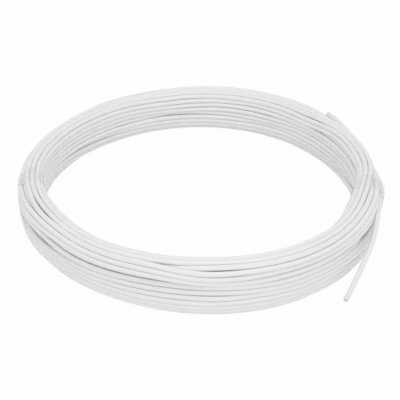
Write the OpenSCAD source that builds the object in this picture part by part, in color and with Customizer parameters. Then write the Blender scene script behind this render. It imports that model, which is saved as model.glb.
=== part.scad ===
// A loose ring of single-core insulated wire, taped in two places, as it comes off a drum.
// Millimetres, +Z up. The ring's axis is the Z axis and it lies on the plane Z = 0.

/* [Wire] */
// Outside diameter of the insulated wire
wire_d = 3.0; // [2.6:0.1:3.2]
// Diameter of one of the conductor's seven strands
strand_d = 0.5; // [0.3:0.05:0.6]
// Free space between neighbouring strands
strand_gap = 0.02; // [0.01:0.01:0.05]
// Free space between the strands and the bore of the insulation
bore_gap = 0.02; // [0.01:0.01:0.05]

/* [Ring] */
// Radius of the ring, from its axis to the middle of the bundle
ring_r = 101.5; // [90:0.5:140]
// How far the ring is oval, either way
oval = 1.7; // [0:0.1:2.5]
// Direction of the oval's long way, in degrees
oval_angle = -45; // [-90:5:90]
// How far the ring is three-cornered, either way
lobe = 1.3; // [0:0.1:2]
// Direction of one of the three corners, in degrees
lobe_angle = -50; // [-60:5:60]
// Thickness of the bundle, from the eye to the outside
bundle_w = 14; // [12:0.5:20]
// Height of the bundle
bundle_h = 33; // [28:1:44]
// Least space between turns that lie side by side
turn_gap = 0.45; // [0.45:0.05:1]
// Space between the outer layer of turns and the turns inside it
layer_gap = 0.35; // [0.25:0.05:0.6]

/* [Ends] */
// Direction in which the outer end leaves the ring, as an angle round its axis
start_angle = -18; // [-20:1:-16]
// How far the inner end lies over the shoulder, from the top of the straight outer side
end_offset = 4; // [2:0.5:6]
// How far the inner end stands out over the layer
end_rise = 1.5; // [0.5:0.1:2.5]
// Length of the inner end past the last turn
inner_end_l = 14; // [8:1:20]
// Height of the outer end's tip above the table, under the wire
tip_rise = 0.3; // [0.2:0.1:1]

/* [Tape] */
// Width of a band of tape
tape_w = 13; // [8:1:19]
// Thickness of a band, all its layers together
tape_t = 0.3; // [0.2:0.05:0.5]
// Space between a band and the turns under it
tape_gap = 0.2; // [0.15:0.05:0.4]

/* [Hidden] */

insulation_colour = [0.93, 0.94, 0.92];
conductor_colour = [0.72, 0.73, 0.74];
tape_colour = [0.86, 0.89, 0.90];

// The winding's facets: cross-sections in a turn, and sides of the tube
turn_rings = 24;
turn_sides = 6;
ring_step = 360 / turn_rings;
most_turns = 24;

// The bundle's section: two straight sides and two half rounds, cut flat where it lies
wire_r = wire_d / 2;
wire_flat = wire_r * cos(180 / turn_sides);
flat_cut = wire_d / 10;
mid_z = (bundle_h - flat_cut) / 2;
side_h = (bundle_h + flat_cut - bundle_w) / 2;
path_r = bundle_w / 2 - wire_flat;
path_arc = PI * path_r;
path_len = 4 * side_h + 2 * path_arc;

// The outer layer: whole turns side by side, and the part of a turn by which the two ends pass
// each other. There the outer end lies over the layer, in the groove between the next two turns,
// and then it rolls down over the next turn into its own place.
pass_rings = 3;
least_slot = 2 * path_r * asin((wire_d + turn_gap) / (2 * path_r)) * PI / 180;
turns = min(most_turns, floor(path_len / least_slot));
slot = path_len / turns;
last_ring = turns * turn_rings + pass_rings;
end_angle = start_angle + pass_rings * ring_step;
first_at = -end_offset - pass_rings * slot / turn_rings;
groove_roll = 120;
start_hold = 1;
start_fall = 8;
end_fall = 3;

// The bands of tape sit halfway between two cross-sections, where the turns run straight
tape_right_at = 0.5;
tape_left_at = tape_right_at + turn_rings / 2 + 1;
tape_rings = [floor(tape_right_at), ceil(tape_right_at), floor(tape_left_at), ceil(tape_left_at)];

// The outer end's route from the ring to the table, chosen by hand. Each point has its way along
// the line in which the wire leaves, its way out from that line, and its share of the drop.
outer_route = [
    [0, 0, 0], [4, 0, 0], [8, 0.3, 0.02], [12, 0.7, 0.05], [16, 1.0, 0.09], [20, 1.3, 0.14],
    [24, 1.3, 0.19], [28, 1.2, 0.25], [32, 0.8, 0.33], [36, 0.2, 0.41], [40, -0.6, 0.50],
    [44, -1.5, 0.59], [48, -2.4, 0.68], [52, -3.4, 0.77], [56, -4.4, 0.86], [63, -6.2, 1.0]
];
loose_sides = 8;

// Distance from the ring's axis to the middle of the bundle, at an angle round the ring
function radius_at(angle) =
    ring_r + oval * cos(2 * (angle - oval_angle)) + lobe * cos(3 * (angle - lobe_angle));
function out_dir(angle) = [cos(angle), sin(angle), 0];
function way_dir(angle) = [-sin(angle), cos(angle), 0];
function placed(angle, p) = (radius_at(angle) + p[0]) * out_dir(angle) + [0, 0, p[1]];

// A point of the section's outline, and the direction in which it faces, at a length along it. It
// starts at the top of the outer side and goes down, under the bundle, up the eye and over the top.
function outline_at(length) =
    let (s = length - path_len * floor(length / path_len))
    s < 2 * side_h ? [path_r, side_h - s, 0]
    : s < 2 * side_h + path_arc ? round_at((2 * side_h - s) / path_r * 180 / PI, -side_h)
    : s < 4 * side_h + path_arc ? [-path_r, s - 3 * side_h - path_arc, -180]
    : round_at((4 * side_h - s) / path_r * 180 / PI, side_h);
function round_at(turned, z) = [path_r * cos(turned), z + path_r * sin(turned), turned];

// How far round the next turn the outer end has rolled: all the way up in the groove, or down
// beside that turn, in the layer
function roll_at(i) = groove_roll * (1 + cos(180 * max(0, min(1, (i - start_hold) / start_fall)))) / 2;
function end_rise_at(i) = end_rise * pow(max(0, 1 - (last_ring - i) / end_fall), 2);

// The middle of a cross-section, in the plane that holds the ring's axis: its way out from the
// middle of the bundle, its height and the direction in which it faces
function turn_at(i) =
    let (roll = roll_at(i),
         o = outline_at(first_at + i * slot / turn_rings + slot * (1 - cos(roll))),
         up = slot * sin(roll) + end_rise_at(i))
    [o[0] + up * cos(o[2]), mid_z + o[1] + up * sin(o[2]), o[2]];
function turn_angle(i) = start_angle + i * ring_step;
function turn_mid(i) = let (t = turn_at(i)) placed(turn_angle(i), [t[0], t[1]]);

// Height under which the turns are pressed flat: the table, or the tape that lies on it
function rest_z(i) =
    len([for (r = tape_rings) if (i % turn_rings == r) r]) > 0 ? tape_t + tape_gap / 2 : 0;
function turn_ring(i) =
    let (t = turn_at(i))
    [for (k = [0:turn_sides - 1])
        let (a = t[2] + (k + 0.5) * 360 / turn_sides)
        placed(turn_angle(i), [t[0] + wire_r * cos(a), max(rest_z(i), t[1] + wire_r * sin(a))])];
function moved(points, by) = [for (p = points) p + by];

// Where the winding's two straight ends stop, and the directions in which they point
start_dir = -way_dir(start_angle);
start_face = turn_mid(0) + wire_d * start_dir;
end_dir = way_dir(end_angle);
end_face = turn_mid(last_ring) + wire_d * end_dir;

// The least space between turns, measured between the middles of all the cross-sections that
// lie in one plane, and between the middles of the stretches that follow them
plane_gaps = [
    for (i = [0:turn_rings - 1], a = [i:turn_rings:last_ring], b = [a + turn_rings:turn_rings:last_ring])
    norm(turn_mid(a) - turn_mid(b)) - wire_d];
last_span = last_ring - 1;
span_gaps = [
    for (i = [0:turn_rings - 1], a = [i:turn_rings:last_span], b = [a + turn_rings:turn_rings:last_span])
    norm(turn_mid(a) + turn_mid(a + 1) - turn_mid(b) - turn_mid(b + 1)) / 2 - wire_d];
echo(turns_shown = turns, least_gap_of_the_winding = min(min(plane_gaps), min(span_gaps)));

// The outer end's route in place. Its last stretch is the cut tip.
tip_z = wire_r + tip_rise;
route = [for (p = outer_route)
    start_face + p[0] * start_dir + p[1] * out_dir(start_angle) + [0, 0, (tip_z - start_face[2]) * p[2]]];
route_end = len(route) - 1;
tip_dir = (route[route_end] - route[route_end - 1]) / norm(route[route_end] - route[route_end - 1]);
route_steps = [for (i = [1:route_end]) norm(route[i] - route[i - 1])];
function total(list, i = 0) = i < len(list) ? list[i] + total(list, i + 1) : 0;
echo(outer_end_length = total(route_steps));

// The conductor and its bore
strand_pitch = strand_d + strand_gap;
bore_r = strand_pitch + strand_d / 2 + bore_gap;

// Faces of a tube through rings of points, closed at both ends, or joined end to end
function tube_sides(rings, sides, shut) =
    [for (i = [0:rings - (shut ? 1 : 2)], k = [0:sides - 1])
        let (a = i * sides + k, b = i * sides + (k + 1) % sides,
             c = ((i + 1) % rings) * sides + k, d = ((i + 1) % rings) * sides + (k + 1) % sides)
        each [[a, b, d], [a, d, c]]];
function tube_ends(rings, sides) =
    [for (k = [1:sides - 2])
        each [[0, k + 1, k], [(rings - 1) * sides, (rings - 1) * sides + k, (rings - 1) * sides + k + 1]]];

// A tube through a list of rings, each a list of points
module tube(rings) {
    sides = len(rings[0]);
    polyhedron(points = [for (r = rings) each r],
               faces = concat(tube_sides(len(rings), sides, false), tube_ends(len(rings), sides)));
}

// A ring of points round a route's point, square to the route there
function route_dir(i) =
    let (d = i == 0 ? start_dir : i >= route_end - 1 ? tip_dir : route[i + 1] - route[i - 1]) d / norm(d);
function route_ring(i) =
    let (d = route_dir(i), across = cross([0, 0, 1], d), side = across / norm(across), up = cross(d, side))
    [for (k = [0:loose_sides - 1])
        let (a = -(k + 0.5) * 360 / loose_sides) route[i] + wire_r * (cos(a) * side + sin(a) * up)];

// Stands its children, drawn along +Z, on a point and leans them in a direction
module along(from, dir) {
    translate(from)
        rotate([0, acos(dir[2]), atan2(dir[1], dir[0])])
            children();
}

// A straight stretch of insulation with its bore
module sheath(length) {
    difference() {
        cylinder(r = wire_r, h = length, $fn = 48);
        translate([0, 0, -1]) cylinder(r = bore_r, h = length + 2, $fn = 48);
    }
}

// The seven strands of the conductor, one in the middle and six round it
module strands(length) {
    cylinder(d = strand_d, h = length, $fn = 24);
    for (k = [0:5])
        rotate([0, 0, 60 * k])
            translate([strand_pitch, 0, 0]) cylinder(d = strand_d, h = length, $fn = 24);
}

// The section of the whole bundle, let out by a distance and cut off below a height
module bundle_section(out, low) {
    intersection() {
        union() {
            for (z = [mid_z - side_h, mid_z + side_h])
                translate([0, z]) circle(r = bundle_w / 2 + out, $fn = 96);
            translate([-bundle_w / 2 - out, mid_z - side_h]) square([bundle_w + 2 * out, 2 * side_h]);
        }
        translate([-bundle_w, low]) square([2 * bundle_w, 2 * bundle_h]);
    }
}

// A band of tape round the bundle, between two of its cross-sections. Only the band that holds the
// outer end runs out over that end.
module tape_band(at, over_end) {
    angle = turn_angle(at);
    before = floor(at);
    after = ceil(at);
    lean = cos(ring_step / 2);
    mid_r = (radius_at(turn_angle(before)) + radius_at(turn_angle(after))) / 2 * lean;
    end_x = (turn_at(before)[0] + turn_at(after)[0]) / 2 * lean;
    end_z = (turn_at(before)[1] + turn_at(after)[1]) / 2;
    rotate([0, 0, angle])
        translate([mid_r, 0, 0])
            rotate([90, 0, 0])
                linear_extrude(tape_w, center = true)
                    difference() {
                        tape_outline(tape_gap + tape_t, 0, over_end, end_x, end_z);
                        tape_outline(tape_gap, tape_t, over_end, end_x, end_z);
                    }
}

module tape_outline(out, low, over_end, end_x, end_z) {
    if (over_end)
        hull() {
            bundle_section(out, low);
            translate([end_x, end_z]) circle(r = wire_r + out, $fn = 32);
        }
    else
        bundle_section(out, low);
}

// The turns under the outer layer, taken together as one solid ring
core_r = path_r - wire_flat - layer_gap;
core_points = 16;
function core_ring(i) =
    [for (k = [0:core_points - 1])
        let (a = -(k < core_points / 2 ? k : k - 1) * 360 / (core_points - 2),
             z = k < core_points / 2 ? -side_h : side_h)
        placed(turn_angle(i), [core_r * cos(a), mid_z + z + core_r * sin(a)])];

module turns_core() {
    color(insulation_colour)
        polyhedron(points = [for (i = [0:turn_rings - 1]) each core_ring(i)],
                   faces = tube_sides(turn_rings, core_points, true));
}

module outer_turns() {
    rings = [for (i = [0:last_ring]) turn_ring(i)];
    color(insulation_colour)
        tube(concat([moved(rings[0], wire_d * start_dir)], rings, [moved(rings[last_ring], wire_d * end_dir)]));
}

module loose_end() {
    color(insulation_colour) tube([for (i = [0:route_end - 1]) route_ring(i)]);
}

module loose_end_sheath() {
    color(insulation_colour)
        along(route[route_end - 1], tip_dir) sheath(route_steps[route_end - 1]);
}

module loose_end_conductor() {
    color(conductor_colour)
        along(route[route_end - 1], tip_dir) strands(route_steps[route_end - 1]);
}

module inner_end_sheath() {
    color(insulation_colour) along(end_face, end_dir) sheath(inner_end_l);
}

module inner_end_conductor() {
    color(conductor_colour) along(end_face, end_dir) strands(inner_end_l);
}

module tape_right() {
    color(tape_colour) tape_band(tape_right_at, true);
}

module tape_left() {
    color(tape_colour) tape_band(tape_left_at, false);
}

turns_core();
outer_turns();
loose_end();
loose_end_sheath();
loose_end_conductor();
inner_end_sheath();
inner_end_conductor();
tape_right();
tape_left();
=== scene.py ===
"""Looks of a loose, taped coil of white insulated wire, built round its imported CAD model.

The coil is one unbroken wire of twenty-five metres. A small solver lays its turns loosely beside and on each
other, the way they settle when a coil is taken off a winder, and two bands of clear tape hold them.
"""

from __future__ import annotations

import logging
import math
from dataclasses import dataclass, field
from enum import Enum
from typing import Iterable

import bpy
import numpy as np
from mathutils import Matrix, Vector


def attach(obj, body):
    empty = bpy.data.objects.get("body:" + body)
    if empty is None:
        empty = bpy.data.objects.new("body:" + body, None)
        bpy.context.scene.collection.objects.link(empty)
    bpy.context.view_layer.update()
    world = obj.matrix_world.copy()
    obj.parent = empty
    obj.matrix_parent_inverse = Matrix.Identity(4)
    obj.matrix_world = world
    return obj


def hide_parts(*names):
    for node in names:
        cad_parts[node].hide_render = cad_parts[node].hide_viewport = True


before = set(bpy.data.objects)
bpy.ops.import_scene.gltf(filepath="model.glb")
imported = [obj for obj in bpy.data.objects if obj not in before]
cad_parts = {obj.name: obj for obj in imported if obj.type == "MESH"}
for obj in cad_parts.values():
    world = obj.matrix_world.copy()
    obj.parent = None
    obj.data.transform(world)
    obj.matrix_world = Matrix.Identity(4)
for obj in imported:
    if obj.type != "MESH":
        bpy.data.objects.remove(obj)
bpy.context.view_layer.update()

log = logging.getLogger("wire_coil")

MM = 0.001
TURN = 2 * math.pi
# Farther apart than any two parts of the coil lie, in metres
FAR = 1.0
Value = "float | Signal | bpy.types.NodeSocket"


class Slot(Enum):
    """The record's material slots."""

    INSULATION = "insulation"
    CONDUCTOR = "conductor"
    TAPE = "clear_tape"


# ---------------------------------------------------------------------------- shader building


class Signal:
    """A socket that carries one number. Arithmetic on it adds Math nodes to its tree."""

    def __init__(self, shader: Shader, socket: bpy.types.NodeSocket) -> None:
        """Args:
        shader: the tree that the socket is in.
        socket: the output that carries the number.
        """
        self.shader = shader
        self.socket = socket

    def _math(self, operation: str, *terms: Value, clamp: bool = False) -> Signal:
        """One Math node.

        Args:
            operation: the node's operation.
            terms: its inputs, in order.
            clamp: whether the result is held between 0 and 1.

        Returns:
            The node's result.
        """
        settings = {"operation": operation, "use_clamp": clamp}
        node = self.shader.add("ShaderNodeMath", settings, dict(enumerate(terms)))
        return Signal(self.shader, node.outputs[0])

    def __add__(self, other: Value) -> Signal:
        """This plus other."""
        return self._math("ADD", self, other)

    __radd__ = __add__

    def __mul__(self, other: Value) -> Signal:
        """This times other."""
        return self._math("MULTIPLY", self, other)

    __rmul__ = __mul__

    def __sub__(self, other: Value) -> Signal:
        """This less other."""
        return self._math("SUBTRACT", self, other)

    def __rsub__(self, other: Value) -> Signal:
        """Other less this."""
        return self._math("SUBTRACT", other, self)

    def clamped(self) -> Signal:
        """This, held between 0 and 1."""
        return self._math("ADD", self, 0.0, clamp=True)

    def over(self, low: float, high: float) -> Signal:
        """How far this lies from low to high, held between 0 and 1."""
        return ((self - low) * (1 / (high - low))).clamped()


class Shader:
    """A material's node tree, with one method that adds every kind of node."""

    def __init__(self, name: str) -> None:
        """Args:
        name: the material's name.
        """
        self.material = bpy.data.materials.new(name)
        self.material.use_nodes = True
        self.tree = self.material.node_tree
        self.tree.nodes.clear()

    def add(self, kind: str, settings: dict | None = None, inputs: dict | None = None) -> bpy.types.Node:
        """Adds a node.

        Args:
            kind: the node's type.
            settings: its properties, which are set first.
            inputs: values or links of its sockets, by name or number.

        Returns:
            The node.
        """
        node = self.tree.nodes.new(kind)
        for key, value in (settings or {}).items():
            setattr(node, key, value)
        for key, value in (inputs or {}).items():
            source = value.socket if isinstance(value, Signal) else value
            if isinstance(source, bpy.types.NodeSocket):
                self.tree.links.new(source, node.inputs[key])
            else:
                plain = isinstance(source, tuple) and len(source) == 3 and node.inputs[key].type == "RGBA"
                node.inputs[key].default_value = (*source, 1.0) if plain else source
        return node

    def noise(self, scale: float, detail: float = 2.0, along: Value | None = None) -> Signal:
        """Smooth noise from 0 to 1.

        Args:
            scale: its frequency, in waves per metre.
            detail: how many finer waves are added.
            along: a length that it is read at, in place of the place on the object.

        Returns:
            The noise's value.
        """
        inputs = {"Scale": scale, "Detail": detail}
        if along is not None:
            node = self.add("ShaderNodeTexNoise", {"noise_dimensions": "1D"}, {"W": along, **inputs})
        else:
            place = self.add("ShaderNodeTexCoord").outputs["Object"]
            node = self.add("ShaderNodeTexNoise", {"noise_dimensions": "3D"}, {"Vector": place, **inputs})
        return Signal(self, node.outputs[0])

    def attribute(self, name: str) -> Signal:
        """A number stored on the mesh's points."""
        node = self.add("ShaderNodeAttribute", {"attribute_name": name})
        return Signal(self, node.outputs["Fac"])

    def blend(self, share: Value, first: Value | tuple, second: Value | tuple) -> bpy.types.NodeSocket:
        """A colour between two colours.

        Args:
            share: 0 for the first, 1 for the second.
            first: a colour or a socket that carries one.
            second: the other.

        Returns:
            The socket that carries the mixed colour.
        """
        return self.add("ShaderNodeMix", {"data_type": "RGBA"}, {0: share, 6: first, 7: second}).outputs[2]

    def bump(self, height: Signal, distance: float, strength: float) -> bpy.types.NodeSocket:
        """A surface normal that follows a height, given as a share of a distance."""
        inputs = {"Height": height, "Distance": distance, "Strength": strength}
        return self.add("ShaderNodeBump", None, inputs).outputs[0]

    def surface(self, **inputs: Value | tuple) -> bpy.types.Material:
        """Ends the tree in a Principled shader.

        Args:
            inputs: the shader's sockets by name, with _ for a space.

        Returns:
            The material.
        """
        named = {key.replace("_", " "): value for key, value in inputs.items()}
        node = self.add("ShaderNodeBsdfPrincipled", None, named)
        return self.output(node.outputs[0])

    def output(self, shader: bpy.types.NodeSocket) -> bpy.types.Material:
        """Links a shader to the material's output and returns the material."""
        self.add("ShaderNodeOutputMaterial", None, {"Surface": shader})
        return self.material


@dataclass(frozen=True)
class InsulationFinish:
    """White plastic insulation: faintly translucent, smooth and a little shiny.

    Where two strands lie together, the base colour is painted paler: painted light that lifts the shade in
    the grooves between them.
    """

    cool: tuple[float, float, float] = (0.84, 0.865, 0.86)
    warm: tuple[float, float, float] = (0.865, 0.875, 0.85)
    handled: tuple[float, float, float] = (0.80, 0.81, 0.79)
    # Painted light: the pale colour the skin takes near other strands, lifting the shade in the grooves
    # between them
    painted_groove_light: tuple[float, float, float] = (0.945, 0.955, 0.94)
    # Waves per metre, finer waves added and share in the tone
    batch: tuple[float, float, float] = (2.2, 1.0, 0.55)
    cloud: tuple[float, float, float] = (14.0, 2.0, 0.3)
    streak: tuple[float, float, float] = (40.0, 3.0, 0.15)
    tone_range: tuple[float, float] = (0.35, 0.65)
    # Waves per metre and finer waves added
    scuff: tuple[float, float] = (260.0, 4.0)
    scuff_range: tuple[float, float] = (0.66, 0.78)
    scuff_share: float = 0.35
    scuff_dulls: float = 0.12
    grain: tuple[float, float] = (1400.0, 3.0)
    grain_height: float = 0.02 * MM
    grain_strength: float = 0.35
    grain_dulls: float = 0.10
    roughness: float = 0.40
    refraction: float = 1.47
    glow: float = 0.5
    glow_colour: tuple[float, float, float] = (1.0, 1.0, 0.95)
    glow_depth: float = 1.6 * MM

    def make(self) -> bpy.types.Material:
        """Builds the material."""
        shader = Shader("white_insulation")
        along = shader.attribute("along")
        batch = shader.noise(*self.batch[:2], along=along)
        streak = shader.noise(*self.streak[:2], along=along)
        cloud = shader.noise(*self.cloud[:2])
        tone = self.batch[2] * batch + self.cloud[2] * cloud + self.streak[2] * streak
        colour = shader.blend(tone.over(*self.tone_range), self.cool, self.warm)
        marks = shader.noise(*self.scuff).over(*self.scuff_range) * self.scuff_share
        colour = shader.blend(marks, colour, self.handled)
        # Painted light: the colour turns paler where strands lie close, in place of light reaching the
        # grooves
        colour = shader.blend(shader.attribute("touching"), colour, self.painted_groove_light)
        grain = shader.noise(*self.grain)
        return shader.surface(
            Base_Color=colour,
            Roughness=self.roughness + self.grain_dulls * (grain - 0.5) + self.scuff_dulls * marks,
            Normal=shader.bump(grain, self.grain_height, self.grain_strength),
            IOR=self.refraction,
            Subsurface_Weight=self.glow,
            Subsurface_Radius=self.glow_colour,
            Subsurface_Scale=self.glow_depth,
        )


@dataclass(frozen=True)
class TinnedFinish:
    """Tinned copper strands: dull grey, with patches of bare copper where they were cut."""

    tin: tuple[float, float, float] = (0.62, 0.63, 0.64)
    copper: tuple[float, float, float] = (0.72, 0.45, 0.33)
    copper_waves: float = 3800.0
    copper_range: tuple[float, float] = (0.4, 0.6)
    copper_share: float = 0.55
    draw_waves: float = 5200.0
    draw_height: float = 0.01 * MM
    draw_strength: float = 0.5
    draw_dulls: float = 0.2
    roughness: float = 0.34

    def make(self) -> bpy.types.Material:
        """Builds the material."""
        shader = Shader("tinned_strands")
        cut = shader.attribute("cut")
        draw = shader.noise(self.draw_waves)
        bare = shader.noise(self.copper_waves).over(*self.copper_range)
        worn = (cut * bare * self.copper_share).clamped()
        return shader.surface(
            Base_Color=shader.blend(worn, self.tin, self.copper),
            Metallic=1.0,
            Roughness=self.roughness + self.draw_dulls * (draw - 0.5),
            Normal=shader.bump(draw, self.draw_height, self.draw_strength),
        )


@dataclass(frozen=True)
class TapeFinish:
    """Clear packing tape: clear where it sticks to the wire, milky where it stands off it."""

    colour: tuple[float, float, float] = (0.92, 0.93, 0.93)
    roughness: float = 0.2
    refraction: float = 1.49
    stuck: float = 0.07
    free: float = 0.28
    ripple_waves: float = 150.0
    ripple_height: float = 0.1 * MM
    ripple_strength: float = 0.3
    cloud_waves: float = 90.0
    cloud_range: tuple[float, float] = (0.3, 0.7)
    cloud_share: float = 0.15

    def make(self) -> bpy.types.Material:
        """Builds the material."""
        shader = Shader("clear_tape")
        off = shader.attribute("stand_off")
        ripple = shader.noise(self.ripple_waves)
        cloud = self.cloud_share * shader.noise(self.cloud_waves, 1.0).over(*self.cloud_range)
        return shader.surface(
            Base_Color=self.colour,
            Roughness=self.roughness + cloud,
            Alpha=self.stuck + off * (self.free - self.stuck) * (1 - self.cloud_share + cloud),
            Normal=shader.bump(ripple, self.ripple_height, self.ripple_strength),
            IOR=self.refraction,
        )


@dataclass(frozen=True)
class FloorFinish:
    """A white studio floor: plain white to the camera, with a trace of the object's shadow."""

    white: tuple[float, float, float] = (0.9, 0.9, 0.9)
    seen: tuple[float, float, float] = (1.0, 1.0, 1.0)
    shadow_share: float = 0.05

    def make(self) -> bpy.types.Material:
        """Builds the material."""
        shader = Shader("studio_floor")
        paper = shader.add("ShaderNodeBsdfDiffuse", None, {"Color": self.white}).outputs[0]
        light = shader.add("ShaderNodeEmission", None, {"Color": self.seen, "Strength": 1.0}).outputs[0]
        share = bright_to_sight(shader) * (1 - self.shadow_share)
        mixed = shader.add("ShaderNodeMixShader", None, {0: share, 1: paper, 2: light})
        return shader.output(mixed.outputs[0])


def bright_to_sight(shader: Shader) -> Signal:
    """1 for rays that show a surface to the eye, straight or in gloss or glass, and 0 for lighting."""
    path = shader.add("ShaderNodeLightPath")
    seen = Signal(shader, path.outputs["Is Camera Ray"]) + Signal(shader, path.outputs["Is Glossy Ray"])
    return (seen + Signal(shader, path.outputs["Is Transmission Ray"])).clamped()


# ---------------------------------------------------------------------------- mesh helpers


def unit(vectors: np.ndarray) -> np.ndarray:
    """Vectors of length one, along the same directions."""
    return vectors / np.linalg.norm(vectors, axis=-1, keepdims=True)


def smooth_step(share: np.ndarray) -> np.ndarray:
    """A share that leaves 0 and reaches 1 without a corner."""
    held = np.clip(share, 0.0, 1.0)
    return held * held * (3.0 - 2.0 * held)


@dataclass
class MeshSketch:
    """Points and faces of a mesh that is being put together, with numbers stored on its points."""

    points: list[np.ndarray] = field(default_factory=list)
    faces: list[tuple[int, ...]] = field(default_factory=list)
    marks: dict[str, list[np.ndarray]] = field(default_factory=dict)
    count: int = 0

    def rings(self, rings: np.ndarray, **marks: np.ndarray) -> np.ndarray:
        """Adds a skin through closed rings of points.

        Args:
            rings: points, as ring, place in the ring and axis.
            marks: a number for each ring or for each point, by the name of the attribute.

        Returns:
            The points' numbers, as ring and place in the ring.
        """
        rows, sides = rings.shape[:2]
        index = np.arange(rows * sides).reshape(rows, sides) + self.count
        self.points.append(rings.reshape(-1, 3))
        self.count += rows * sides
        for name, values in marks.items():
            each = values if values.ndim == 2 else values[:, None]
            self.marks.setdefault(name, []).append(np.broadcast_to(each, (rows, sides)).ravel())
        further = np.roll(index, -1, axis=1)
        quads = np.stack([index[:-1], further[:-1], further[1:], index[1:]], axis=-1)
        self.faces.extend(map(tuple, quads.reshape(-1, 4).tolist()))
        return index

    def cap(self, ring: np.ndarray, flip: bool) -> None:
        """Closes a ring with one face."""
        order = ring[::-1] if flip else ring
        self.faces.append(tuple(int(i) for i in order))

    def build(
        self, name: str, material: bpy.types.Material, slot: Slot, sharp_angle: float = 40.0
    ) -> bpy.types.Object:
        """Makes the object.

        Args:
            name: the piece's name.
            material: its finish.
            slot: the record's slot that the finish stands for; not used.
            sharp_angle: the angle between faces, in degrees, from which an edge is sharp.

        Returns:
            The object, linked to the scene and riding on the model.
        """
        mesh = bpy.data.meshes.new(name)
        mesh.from_pydata(np.concatenate(self.points).tolist(), [], self.faces)
        for key, values in self.marks.items():
            attribute = mesh.attributes.new(key, "FLOAT", "POINT")
            attribute.data.foreach_set("value", np.concatenate(values).astype(np.float32))
        mesh.polygons.foreach_set("use_smooth", [True] * len(mesh.polygons))
        mesh.set_sharp_from_angle(angle=math.radians(sharp_angle))
        mesh.materials.append(material)
        mesh.validate()
        obj = bpy.data.objects.new(name, mesh)
        bpy.context.scene.collection.objects.link(obj)
        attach(obj, "root")
        log.info("%s: %d faces", name, len(mesh.polygons))
        return obj


# ---------------------------------------------------------------------------- the coil


@dataclass(frozen=True)
class Spread:
    """A stretch of the ring where the bundle spreads inward, or outward where its depth is negative.

    Its angle and its reach to each side are in degrees.
    """

    angle: float
    reach: float
    depth: float

    def at(self, angle: np.ndarray | float) -> np.ndarray | float:
        """How far the bundle spreads, at an angle in radians."""
        off = (np.degrees(angle) - self.angle + 180.0) % 360.0 - 180.0
        return self.depth * np.cos(np.clip(off / self.reach, -1.0, 1.0) * math.pi / 2) ** 2


@dataclass(frozen=True)
class RingShape:
    """The line that the bundle's middle follows, and the bundle's section on it."""

    radius: float = 102.2 * MM
    oval: float = 1.6 * MM
    oval_angle: float = -35.0
    lobe: float = 1.3 * MM
    lobe_angle: float = -50.0
    shift: float = 0.4 * MM
    shift_angle: float = -20.0
    half_width: float = 7.5 * MM
    waist: float = 0.6 * MM
    half_height: float = 15.67 * MM
    squareness: float = 3.6
    slump: float = 0.09
    slump_angle: float = 129.0
    spreads: tuple[Spread, ...] = (
        Spread(-24.0, 24.0, 4.0 * MM), Spread(207.0, 34.0, 3.6 * MM),
        Spread(201.0, 22.0, -0.9 * MM), Spread(-26.0, 24.0, -1.8 * MM),
    )  # fmt: skip

    def radius_at(self, angle: np.ndarray | float) -> np.ndarray | float:
        """Distance from the axis to the bundle's middle, at an angle in radians."""
        shift = self.shift * np.cos(angle - math.radians(self.shift_angle))
        oval = self.oval * np.cos(2 * (angle - math.radians(self.oval_angle)))
        lobe = self.lobe * np.cos(3 * (angle - math.radians(self.lobe_angle)))
        return self.radius + shift + oval + lobe - sum(spread.at(angle) for spread in self.spreads) / 2

    def width_at(self, angle: np.ndarray | float) -> np.ndarray | float:
        """Half the bundle's width, at an angle in radians."""
        width = (self.half_width - self.waist * np.cos(2 * angle)) * self.spread_at(angle)
        return width + sum(abs(spread.at(angle)) for spread in self.spreads) / 2

    def spread_at(self, angle: np.ndarray | float) -> np.ndarray | float:
        """How much wider and lower the section is than its mean, at an angle in radians."""
        return 1.0 + self.slump * np.cos(angle - math.radians(self.slump_angle))

    def place(self, angle: np.ndarray | float, out: np.ndarray, up: np.ndarray) -> np.ndarray:
        """Points at an angle round the ring, a distance out from the bundle's middle and a height."""
        reach = self.radius_at(angle) + out
        return np.stack(np.broadcast_arrays(reach * np.cos(angle), reach * np.sin(angle), up), axis=-1)


@dataclass(frozen=True)
class WireSize:
    """Sizes of the insulated wire."""

    diameter: float = 3.0 * MM
    strand: float = 0.5 * MM
    strand_gap: float = 0.02 * MM
    bore_gap: float = 0.02 * MM
    sides: int = 12

    @property
    def radius(self) -> float:
        """Half the outside diameter."""
        return self.diameter / 2

    @property
    def strand_pitch(self) -> float:
        """Distance between the middles of neighbouring strands."""
        return self.strand + self.strand_gap

    @property
    def bore(self) -> float:
        """Radius of the insulation's bore."""
        return self.strand_pitch + self.strand / 2 + self.bore_gap


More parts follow.
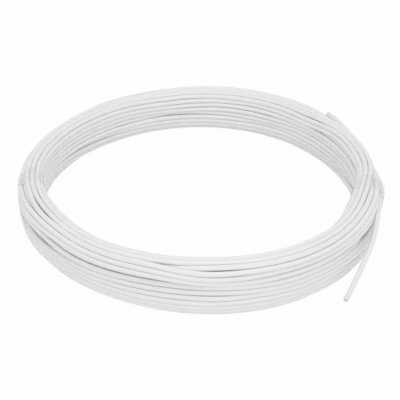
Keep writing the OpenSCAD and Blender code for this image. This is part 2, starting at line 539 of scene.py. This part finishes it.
@dataclass
class LooseEnd:
    """The outer end's free stretch, from the ring down to the table."""

    ring: RingShape
    leave_angle: float = -18.0
    leave_out: float = 8.57 * MM
    leave_height: float = 25.13 * MM
    tip_height: float = 1.8 * MM
    straight: float = 3.0 * MM
    # Each point has its way along the line in which the wire leaves and its way out from that line,
    # in metres, and its share of the drop
    route: tuple[tuple[float, float, float], ...] = (
        (0.0, 0.0, 0.0), (0.004, 0.0, 0.0), (0.008, 0.0003, 0.02), (0.012, 0.0007, 0.05),
        (0.016, 0.0010, 0.09), (0.020, 0.0013, 0.14), (0.024, 0.0013, 0.19), (0.028, 0.0012, 0.25),
        (0.032, 0.0008, 0.33), (0.036, 0.0002, 0.41), (0.040, -0.0006, 0.50), (0.044, -0.0015, 0.59),
        (0.048, -0.0024, 0.68), (0.052, -0.0034, 0.77), (0.056, -0.0044, 0.86), (0.063, -0.0062, 1.0),
    )  # fmt: skip

    def points(self) -> np.ndarray:
        """The route from the cut tip up to where the wire meets the ring."""
        angle = math.radians(self.leave_angle)
        outward = np.array([math.cos(angle), math.sin(angle), 0.0])
        onward = np.array([math.sin(angle), -math.cos(angle), 0.0])
        face = self.ring.place(angle, self.leave_out, self.leave_height) + self.straight * onward
        drop = np.array([0.0, 0.0, self.tip_height - self.leave_height])
        path = [face + a * onward + b * outward + c * drop for a, b, c in self.route]
        return np.array(path[::-1])


@dataclass
class Winding:
    """The turns of the coil, settled loosely into the bundle's section."""

    ring: RingShape
    wire: WireSize
    start: LooseEnd
    turns: int = 39
    slices: int = 120
    pass_slices: int = 18
    floor_gap: float = 0.16 * MM
    skin_gap: float = 0.04 * MM
    wander: tuple[float, float] = (0.14, 0.10)
    wander_slices: float = 30.0
    seed: int = 7
    rows: int = 10
    settle_steps: int = 900
    rest_steps: int = 300
    # Lengths over which a push is smoothed along the wire, in slices, and the share of each length
    settle_soft: tuple[float, float] = (4.0, 10.0)
    rest_soft: tuple[float, float] = (3.0, 8.0)
    soft_shares: tuple[float, float] = (0.6, 0.4)
    settle_swing: float = 0.85
    rest_swing: float = 0.8
    # The strands' first size, as a share of the full one, and how much it would grow while they settle
    first_size: float = 0.3
    growth: float = 0.8
    overlap_push: float = 0.5
    outline_push: float = 0.8
    end_push: float = 0.5
    # Slices over which an end is held and may leave the outline, and how far, as a share of the outline
    outer_hold: float = 5.0
    outer_loosen: float = 8.0
    outer_room: float = 0.4
    inner_out: float = 5.6 * MM
    inner_height: float = 30.3 * MM
    inner_hold: float = 2.2
    inner_loosen: float = 2.5
    inner_room: float = 0.35
    cling_from: int = 700
    cling: float = 0.045
    cling_reach: float = 1.2 * MM
    hug: float = 0.0013
    hug_from: float = 0.6
    hug_rise: float = 2.0

    @property
    def count(self) -> int:
        """Number of points along the wire."""
        return self.turns * self.slices + self.pass_slices + 1

    def angles(self) -> np.ndarray:
        """The angle round the ring of each point, in radians, from the outer end on."""
        return math.radians(self.start.leave_angle) + np.arange(self.count) * TURN / self.slices

    def homes(self) -> np.ndarray:
        """Where each turn would lie in a neat bundle, on a scale of -1 to 1 out and up."""
        full = np.linspace(1.0, -1.0, self.rows)
        third = 1 / 3
        order = [(1.0, z) for z in full[1:]] + [(third, z) for z in full[:0:-1]]
        order += [(-third, z) for z in full[1:]] + [(-1.0, z) for z in full[::-1]]
        order += [(-third, 1.0), (third, 1.0), (1.0, 1.0)]
        return np.array(order)

    def wandering(self) -> np.ndarray:
        """Smooth seeded noise along the wire, out and up."""
        half = int(4 * self.wander_slices)
        bell = np.exp(-0.5 * (np.arange(-half, half + 1) / self.wander_slices) ** 2)
        bell /= math.sqrt((bell**2).sum())
        draws = np.random.default_rng(self.seed).standard_normal((2, self.count + 2 * half))
        return np.stack([a * np.convolve(d, bell, "valid") for a, d in zip(self.wander, draws)], axis=1)

    def first_guess(self) -> np.ndarray:
        """Places on the scale of homes(), blended from home to home along the wire."""
        homes = self.homes()
        way = np.arange(self.count) / self.count * (len(homes) - 1)
        step = np.minimum(way.astype(int), len(homes) - 2)
        share = smooth_step(way - step)[:, None]
        places = homes[step] * (1 - share) + homes[step + 1] * share + self.wandering()
        reach = (np.abs(places) ** self.ring.squareness).sum(1) ** (1 / self.ring.squareness)
        return places / np.maximum(1.0, reach)[:, None]

    def settle(self) -> np.ndarray:
        """Pushes the strands apart until none lies in another.

        Every step adds up the overlaps between strands in each slice of the ring, smooths the push along
        the wire as its stiffness would, and moves the wire by it, while the strands grow to full size.
        Late on, neighbours cling to each other and the outer layer spreads, so that few gaps show.

        Returns:
            For each point, its way out from the bundle's middle and its height.
        """
        d, n = self.wire.diameter, self.ring.squareness
        angles = self.angles()
        lane = np.arange(self.count) % self.slices
        spread = self.ring.spread_at(angles[: self.slices])
        wide = (self.ring.width_at(angles[: self.slices]) - d / 2)[lane]
        middle = (self.ring.half_height / spread)[lane]
        high = middle - d / 2
        places = self._slots()
        wire = places[: self.count]
        guess = self.first_guess()
        wire[:, 0], wire[:, 1] = guess[:, 0] * wide, middle + guess[:, 1] * high

        way = np.arange(self.count, dtype=float)
        left = self.count - 1 - way
        outer = (self.start.leave_out, self.start.leave_height)
        inner = (self.inner_out, self.inner_height)
        ends = (
            (way, self.outer_hold, self.outer_loosen, self.outer_room, outer),
            (left, self.inner_hold, self.inner_loosen, self.inner_room, inner),
        )
        allowed = np.ones(self.count)
        held = np.zeros(self.count)
        pull = np.zeros((self.count, 2))
        for distance, hold, loosen, room, target in ends:
            near = np.exp(-((distance / (2 * loosen)) ** 2))[:, None]
            wire[:] = wire * (1 - near) + np.array(target) * near
            allowed += room * np.exp(-((distance / loosen) ** 2))
            share = np.exp(-((distance / hold) ** 2))
            held += share
            pull += share[:, None] * np.array(target)

        pad = self.slices
        lowest = d / 2 + self.floor_gap
        speed = np.zeros((self.count, 2))
        settle_stiff = self._stiffness(pad, self.settle_soft)
        rest_stiff = self._stiffness(pad, self.rest_soft)
        diagonal = np.arange(self.turns + 1)
        for step in range(self.settle_steps + self.rest_steps):
            grown = (d + self.skin_gap) * min(1.0, self.first_size + self.growth * step / self.settle_steps)
            lanes = places.reshape(self.turns + 1, self.slices, 2)
            apart = lanes[:, None] - lanes[None]
            square = (apart**2).sum(-1)
            square[diagonal, diagonal] = FAR
            length = np.sqrt(np.maximum(square, 1e-12))
            share = np.where(length < grown, (grown - length) / length * self.overlap_push, 0.0)
            if step > self.cling_from:
                free = np.clip(length - grown, 0.0, self.cling_reach)
                share -= self.cling * free * (1.0 - free / self.cling_reach) / length
            push = (share[..., None] * apart).sum(1).reshape(-1, 2)[: self.count]
            u, v = wire[:, 0] / wide, (wire[:, 1] - middle) / high
            reach = (np.abs(u) ** n + np.abs(v) ** n) ** (1 / n)
            back = -self.outline_push * np.maximum(0.0, reach - allowed) / np.maximum(reach, 1e-6)
            push[:, 0] += wire[:, 0] * back
            push[:, 1] += (wire[:, 1] - middle) * back + np.maximum(0.0, lowest - wire[:, 1])
            if step > self.cling_from:
                outside = (reach - self.hug_from) / (1.0 - self.hug_from) * self.hug_rise
                outward = self.hug * np.clip(outside, 0.0, 1.0)
                push[:, 0] += outward * wire[:, 0]
                push[:, 1] += outward * (wire[:, 1] - middle)
            push = push * (1 - held)[:, None] + self.end_push * (pull - held[:, None] * wire)
            padded = np.pad(push, ((pad, pad), (0, 0)))
            settling = step < self.settle_steps
            stiff = settle_stiff if settling else rest_stiff
            eased = np.fft.irfft(np.fft.rfft(padded, axis=0) * stiff, len(padded), axis=0)[pad:-pad]
            swing = self.settle_swing if settling else self.rest_swing
            speed = swing * speed + eased
            wire += speed * (1 - swing / 2)
        for distance, hold, _, _, target in ends:
            miss = np.array(target) - wire[np.argmin(distance)]
            wire += np.exp(-((distance / hold) ** 2))[:, None] * miss
        return wire.copy()

    def _slots(self) -> np.ndarray:
        """Places for whole turns of points: far away, and far apart past the wire's inner end."""
        places = np.full(((self.turns + 1) * self.slices, 2), FAR)
        places[self.count :, 0] += np.arange(len(places) - self.count)
        return places

    def _stiffness(self, pad: int, soft: tuple[float, float]) -> np.ndarray:
        """How much of each wave along the wire a push keeps, for two lengths over which it is smoothed."""
        waves = np.fft.rfftfreq(self.count + 2 * pad)
        bells = (w * np.exp(-2 * (math.pi * waves * s) ** 2) for w, s in zip(self.soft_shares, soft))
        return sum(bells)[:, None]

    def report(self, section: np.ndarray) -> None:
        """Logs how close the strands lie and how sharply they bend."""
        places = self._slots()
        places[: self.count] = section
        lanes = places.reshape(self.turns + 1, self.slices, 2)
        apart = np.linalg.norm(lanes[:, None] - lanes[None], axis=-1)
        apart[np.arange(self.turns + 1), np.arange(self.turns + 1)] = FAR
        kink = np.linalg.norm(np.diff(section, 2, axis=0), axis=1)
        worst = int(np.argmax(kink))
        top = section[:, 1].max() + self.wire.radius
        log.info(
            "winding: least pitch %.2f mm, top %.2f mm, sharpest bend %.2f mm at point %d of %d",
            apart.min() / MM, top / MM, kink.max() / MM, worst, self.count,
        )  # fmt: skip


@dataclass
class Wire:
    """The whole wire: its route, its skin and its two cut ends."""

    size: WireSize
    ring: RingShape
    loose_end: LooseEnd
    winding: Winding
    finish: InsulationFinish
    bore_depth: float = 2.4 * MM
    edge: float = 0.12 * MM
    route_step: float = 2.0 * MM
    # Reach and fade of the painted light that pales the skin near other strands
    painted_light_reach: float = 2.6 * MM
    painted_light_fade: int = 6
    section: np.ndarray | None = None
    path: np.ndarray | None = None

    def lay(self) -> np.ndarray:
        """Works out the wire's line, from the loose end's cut tip to the inner end's."""
        self.section = self.winding.settle()
        self.winding.report(self.section)
        turns = self.ring.place(self.winding.angles(), self.section[:, 0], self.section[:, 1])
        free = self.loose_end.points()
        self.path = np.concatenate([self._eased(free, turns[:2]), turns])
        return self.path

    def _eased(self, free: np.ndarray, after: np.ndarray) -> np.ndarray:
        """Puts finer points on the free stretch, on a curve through its own points."""
        knots = np.concatenate([2 * free[:1] - free[1:2], free, after])
        made = []
        for i in range(1, len(free) + 1):
            p0, p1, p2, p3 = knots[i - 1 : i + 3]
            steps = max(1, round(float(np.linalg.norm(p2 - p1)) / self.route_step))
            for t in np.arange(steps) / steps:
                made.append(0.5 * (2 * p1 + (p2 - p0) * t + (2 * p0 - 5 * p1 + 4 * p2 - p3) * t**2
                                   + (3 * p1 - p0 - 3 * p2 + p3) * t**3))  # fmt: skip
        return np.array(made)

    def length(self) -> float:
        """The wire's length along its middle, in metres."""
        return float(np.linalg.norm(np.diff(self.path, axis=0), axis=1).sum())

    def frames(self) -> tuple[np.ndarray, np.ndarray, np.ndarray]:
        """At each point of the line: its direction, and two directions square to it."""
        ahead = unit(np.gradient(self.path, axis=0))
        side = unit(np.cross(ahead, [0.0, 0.0, 1.0]))
        return ahead, side, np.cross(side, ahead)

    def build(self) -> bpy.types.Object:
        """Makes the insulation's skin, with a bored face at each cut end."""
        ahead, side, up = self.frames()
        around = np.arange(self.size.sides) * TURN / self.size.sides
        circle = np.cos(around)[None, :, None] * side[:, None] + np.sin(around)[None, :, None] * up[:, None]
        along = np.concatenate([[0.0], np.cumsum(np.linalg.norm(np.diff(self.path, axis=0), axis=1))])
        rings = self.path[:, None] + self.size.radius * circle
        first = self._cut(0, ahead, circle)
        last = self._cut(len(self.path) - 1, ahead, circle)
        skin = np.concatenate([first[::-1], rings[1:-1], last])
        way = np.concatenate([np.full(len(first), along[0]), along[1:-1], np.full(len(last), along[-1])])
        # Painted light: each skin point gets a share by how near it lies to another strand, which pales its
        # colour in the grooves
        touching = self.touching(rings)
        alone = [np.zeros((len(cut), self.size.sides)) for cut in (first, last)]
        sketch = MeshSketch()
        index = sketch.rings(skin, along=way, touching=np.concatenate([alone[0], touching[1:-1], alone[1]]))
        sketch.cap(index[0], flip=False)
        sketch.cap(index[-1], flip=True)
        obj = sketch.build("insulation_wire", self.finish.make(), Slot.INSULATION)
        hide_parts("turns_core", "outer_turns", "loose_end", "loose_end_sheath", "inner_end_sheath")
        return obj

    def touching(self, rings: np.ndarray) -> np.ndarray:
        """How near each point of the skin lies to another strand, as the share of painted light that pales
        its colour there.

        Args:
            rings: the skin's points, a ring for each point of the wire's line.

        Returns:
            For each point, 1 where it touches another strand, and 0 from the painted light's reach on.
        """
        free = len(self.path) - self.winding.count
        share = np.zeros(rings.shape[:2])
        for lane in range(self.winding.slices):
            at = np.arange(free + lane, len(self.path), self.winding.slices)
            apart = np.linalg.norm(rings[at][:, :, None] - self.path[at], axis=-1)
            own = np.arange(len(at))
            apart[own, :, own] = FAR
            gap = apart.min(axis=-1) - self.size.radius
            share[at] = 1.0 - smooth_step(gap / self.painted_light_reach)
        share[:free] = share[free] * np.linspace(0.0, 1.0, free)[:, None] ** self.painted_light_fade
        return share

    def _cut(self, at: int, ahead: np.ndarray, circle: np.ndarray) -> np.ndarray:
        """Rings of a cut end, from the skin over the worn edge and down the bore."""
        outward = -ahead[0] if at == 0 else ahead[-1]
        steps = (
            (self.size.radius, -self.edge), (self.size.radius - self.edge, 0.0),
            (self.size.bore, 0.0), (self.size.bore, -self.bore_depth),
        )  # fmt: skip
        return np.stack([self.path[at] + radius * circle[at] + way * outward for radius, way in steps])


@dataclass
class Conductor:
    """The seven strands that show in a cut end of the wire."""

    size: WireSize
    finish: bpy.types.Material
    depth: float = 2.3 * MM
    proud: float = 0.25 * MM
    lay_turns: float = 0.11
    round_strands: int = 6
    edge_share: float = 0.18
    uneven: float = 0.06 * MM
    uneven_phase: tuple[float, float] = (0.7, 2.4)
    sides: int = 10
    steps: int = 6
    sharp_angle: float = 50.0

    def build(self, name: str, node: str, tip: np.ndarray, outward: np.ndarray) -> bpy.types.Object:
        """Makes the strands of one end.

        Args:
            name: the piece's name.
            node: the CAD node that it stands for.
            tip: the middle of the insulation's cut face.
            outward: the direction in which the wire points there.

        Returns:
            The piece.
        """
        side = unit(np.cross(outward, [0.0, 0.0, 1.0]))
        up = np.cross(side, outward)
        sketch = MeshSketch()
        reach = self.size.strand / 2
        edge = self.edge_share * reach
        stations = list(np.linspace(-self.depth, self.proud - edge, self.steps)) + [self.proud]
        around = np.arange(self.sides) * TURN / self.sides
        first_phase, phase_step = self.uneven_phase
        for k in range(self.round_strands + 1):
            rings, marks = [], []
            uneven = self.uneven * math.sin(phase_step * k + first_phase)
            off = self.size.strand_pitch if k else 0.0
            for i, way in enumerate(stations):
                turned = TURN * (k / self.round_strands + self.lay_turns * way / self.depth)
                aside = off * (math.cos(turned) * side + math.sin(turned) * up)
                middle = tip + (way + uneven) * outward + aside
                radius = reach - edge if i == len(stations) - 1 else reach
                circle = np.cos(around)[:, None] * side + np.sin(around)[:, None] * up
                rings.append(middle + radius * circle)
                marks.append(1.0 if i >= len(stations) - 2 else 0.0)
            index = sketch.rings(np.array(rings), cut=np.array(marks))
            sketch.cap(index[0], flip=False)
            sketch.cap(index[-1], flip=True)
        obj = sketch.build(name, self.finish, Slot.CONDUCTOR, self.sharp_angle)
        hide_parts(node)
        return obj


@dataclass
class TapeBand:
    """A band of clear tape round all the strands, with its end lapped over its start.

    It sticks to the strands on top and below, and stands a little off them at the bundle's sides.
    """

    wire: Wire
    name: str
    node: str
    angle: float
    tilt: float = 0.0
    lap_start: float = 205.0
    lap: float = 40.0
    width: float = 15.0 * MM
    film: float = 0.07 * MM
    clearance: float = 0.02 * MM
    sag: float = 0.35
    loose: float = 0.3 * MM
    milky_from: float = 0.15 * MM
    milky_at: float = 0.9 * MM
    most_slack: float = 0.9 * MM
    hull_faces: int = 180
    least_lean: float = 0.05
    floor_gap: float = 0.01 * MM
    stations: int = 13
    around: int = 160
    sharp_angle: float = 50.0

    def strands_at(self, angle: float) -> np.ndarray:
        """Middles of all the strands in the section at an angle round the ring, in radians."""
        winding = self.wire.winding
        first = winding.angles()[0]
        way = (angle - first) / TURN * winding.slices
        places = np.arange(winding.turns + 1) * winding.slices + way % winding.slices
        places = places[places <= winding.count - 1]
        index = np.arange(winding.count)
        return np.stack([np.interp(places, index, self.wire.section[:, i]) for i in (0, 1)], axis=1)

    def reach_at(self, angle: float, around: np.ndarray) -> tuple[np.ndarray, np.ndarray, np.ndarray]:
        """The film's inner face at an angle round the ring.

        Args:
            angle: the angle round the ring, in radians.
            around: directions in the section, in radians.

        Returns:
            The section's centre, the film's distance from it in each direction, and how far the film
            stands off the strands there.
        """
        strands = self.strands_at(angle)
        centre = (strands.max(0) + strands.min(0)) / 2
        off = strands - centre
        skin = self.wire.size.radius + self.clearance
        faces = np.arange(self.hull_faces) * TURN / self.hull_faces
        toward = np.stack([np.cos(faces), np.sin(faces)], axis=1)
        support = (off @ toward.T).max(0) + skin + self.loose * toward[:, 0] ** 2
        lean = np.cos(around[:, None] - faces[None])
        hull = np.where(lean > self.least_lean, support / np.maximum(lean, self.least_lean), FAR).min(1)
        ray = np.stack([np.cos(around), np.sin(around)], axis=1)
        ahead = ray @ off.T
        aside = (off**2).sum(1)[None] - ahead**2
        hit = np.where(aside < skin**2, ahead + np.sqrt(np.maximum(skin**2 - aside, 0.0)), 0.0).max(1)
        slack = np.minimum(np.maximum(hull - hit, 0.0), self.most_slack)
        side = ray[:, 0] ** 2
        reach = hull - self.sag * slack * (1.0 - side)
        return centre, reach, reach - hit

    def build(self, material: bpy.types.Material) -> bpy.types.Object:
        """Makes the band as a closed strip of film."""
        ring = self.wire.ring
        half = self.width / 2 / float(ring.radius_at(math.radians(self.angle)))
        turned = math.radians(self.lap_start) + np.linspace(0.0, TURN + math.radians(self.lap), self.around)
        inner, outer, milky = [], [], []
        for share in np.linspace(-1.0, 1.0, self.stations):
            angles = math.radians(self.angle) + share * half + math.radians(self.tilt) * np.cos(turned)
            found = [self.reach_at(angle, turned[i : i + 1]) for i, angle in enumerate(angles)]
            centre = np.array([middle for middle, _, _ in found])
            reach, free = (np.concatenate([row[i] for row in found]) for i in (1, 2))
            milky.append(smooth_step((free - self.milky_from) / (self.milky_at - self.milky_from)))
            for rows, layer in ((inner, 0.0), (outer, self.film)):
                out = reach + layer + (self.film + self.clearance) * (turned - turned[0]) / TURN
                height = np.maximum(centre[:, 1] + out * np.sin(turned), self.floor_gap + layer)
                rows.append(ring.place(angles, centre[:, 0] + out * np.cos(turned), height))
        sketch = MeshSketch()
        loop = np.stack([*outer, *inner[::-1]], axis=1)
        index = sketch.rings(loop, stand_off=np.stack([*milky, *milky[::-1]], axis=1))
        sketch.cap(index[0], flip=False)
        sketch.cap(index[-1], flip=True)
        obj = sketch.build(self.name, material, Slot.TAPE, self.sharp_angle)
        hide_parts(self.node)
        return obj


# ---------------------------------------------------------------------------- studio


@dataclass
class Studio:
    """Floor, lamps, pale surroundings and camera."""

    eye: tuple[float, float, float] = (0.0, -475.95 * MM, 326.47 * MM)
    sight: tuple[float, float, float] = (0.00077, 0.82727, -0.56181)
    lens: float = 82.17
    sensor: float = 36.0
    floor_size: float = 6.0
    sky: float = 0.905
    sky_seen: float = 1.0
    key_power: float = 0.38
    key_size: float = 0.3
    key_place: tuple[float, float, float] = (0.0, -0.12, 0.55)
    fill_power: float = 4.0
    fill_size: float = 1.4
    fill_place: tuple[float, float, float] = (0.1, -1.5, 0.8)

    def camera(self) -> None:
        """Sets up the camera."""
        data = bpy.data.cameras.new("camera")
        data.lens, data.sensor_width = self.lens, self.sensor
        obj = bpy.data.objects.new("camera", data)
        obj.location = self.eye
        obj.rotation_mode = "QUATERNION"
        obj.rotation_quaternion = Vector(self.sight).to_track_quat("-Z", "Y")
        bpy.context.scene.collection.objects.link(obj)
        bpy.context.scene.camera = obj

    def lamp(self, name: str, place: tuple[float, float, float], size: float, power: float) -> None:
        """Adds a square soft lamp that faces the coil."""
        data = bpy.data.lights.new(name, "AREA")
        data.shape, data.size, data.energy = "SQUARE", size, power
        obj = bpy.data.objects.new(name, data)
        obj.location = place
        obj.rotation_mode = "QUATERNION"
        obj.rotation_quaternion = (-Vector(place)).to_track_quat("-Z", "Y")
        bpy.context.scene.collection.objects.link(obj)

    def surroundings(self) -> None:
        """An even pale light on the object, and a paler tone wherever the surroundings themselves show."""
        world = bpy.data.worlds.new("white_room")
        world.use_nodes = True
        tree = world.node_tree
        tree.nodes.clear()
        path = tree.nodes.new("ShaderNodeLightPath")
        seen = path.outputs["Is Camera Ray"]
        for kind in ("Is Glossy Ray", "Is Transmission Ray"):
            either = tree.nodes.new("ShaderNodeMath")
            either.operation = "MAXIMUM"
            tree.links.new(seen, either.inputs[0])
            tree.links.new(path.outputs[kind], either.inputs[1])
            seen = either.outputs[0]
        level = tree.nodes.new("ShaderNodeMapRange")
        level.inputs["To Min"].default_value = self.sky
        level.inputs["To Max"].default_value = self.sky_seen
        background = tree.nodes.new("ShaderNodeBackground")
        output = tree.nodes.new("ShaderNodeOutputWorld")
        tree.links.new(seen, level.inputs["Value"])
        tree.links.new(level.outputs[0], background.inputs["Strength"])
        tree.links.new(background.outputs[0], output.inputs["Surface"])
        bpy.context.scene.world = world

    def floor(self) -> None:
        """Lays the floor."""
        half = self.floor_size / 2
        mesh = bpy.data.meshes.new("studio_floor")
        corners = [(-half, -half, 0.0), (half, -half, 0.0), (half, half, 0.0), (-half, half, 0.0)]
        mesh.from_pydata(corners, [], [(0, 1, 2, 3)])
        mesh.materials.append(FloorFinish().make())
        obj = bpy.data.objects.new("studio_floor", mesh)
        bpy.context.scene.collection.objects.link(obj)

    def build(self) -> None:
        """Sets up the whole studio."""
        self.camera()
        self.floor()
        self.surroundings()
        self.lamp("key", self.key_place, self.key_size, self.key_power)
        self.lamp("fill", self.fill_place, self.fill_size, self.fill_power)
        bpy.context.scene.view_settings.view_transform = "Standard"


def main() -> None:
    """Builds the camera, the wire and what is on it, and the studio."""
    logging.basicConfig(level=logging.INFO, format="%(name)s %(message)s")
    Studio().build()
    size, ring = WireSize(), RingShape()
    loose_end = LooseEnd(ring)
    winding = Winding(ring, size, loose_end)
    wire = Wire(size, ring, loose_end, winding, InsulationFinish())
    path = wire.lay()
    skin = wire.build()
    log.info("wire: %.2f m long", wire.length())

    tinned = TinnedFinish().make()
    conductor = Conductor(size, tinned)
    ahead = wire.frames()[0]
    loose_strands = conductor.build("loose_strands", "loose_end_conductor", path[0], -ahead[0])
    inner_strands = conductor.build("inner_strands", "inner_end_conductor", path[-1], ahead[-1])

    tape = TapeFinish().make()
    TapeBand(wire, "tape_band_right", "tape_right", -14.0, tilt=2.0).build(tape)
    TapeBand(wire, "tape_band_left", "tape_left", 186.0).build(tape)


if __name__ == "__main__":
    main()
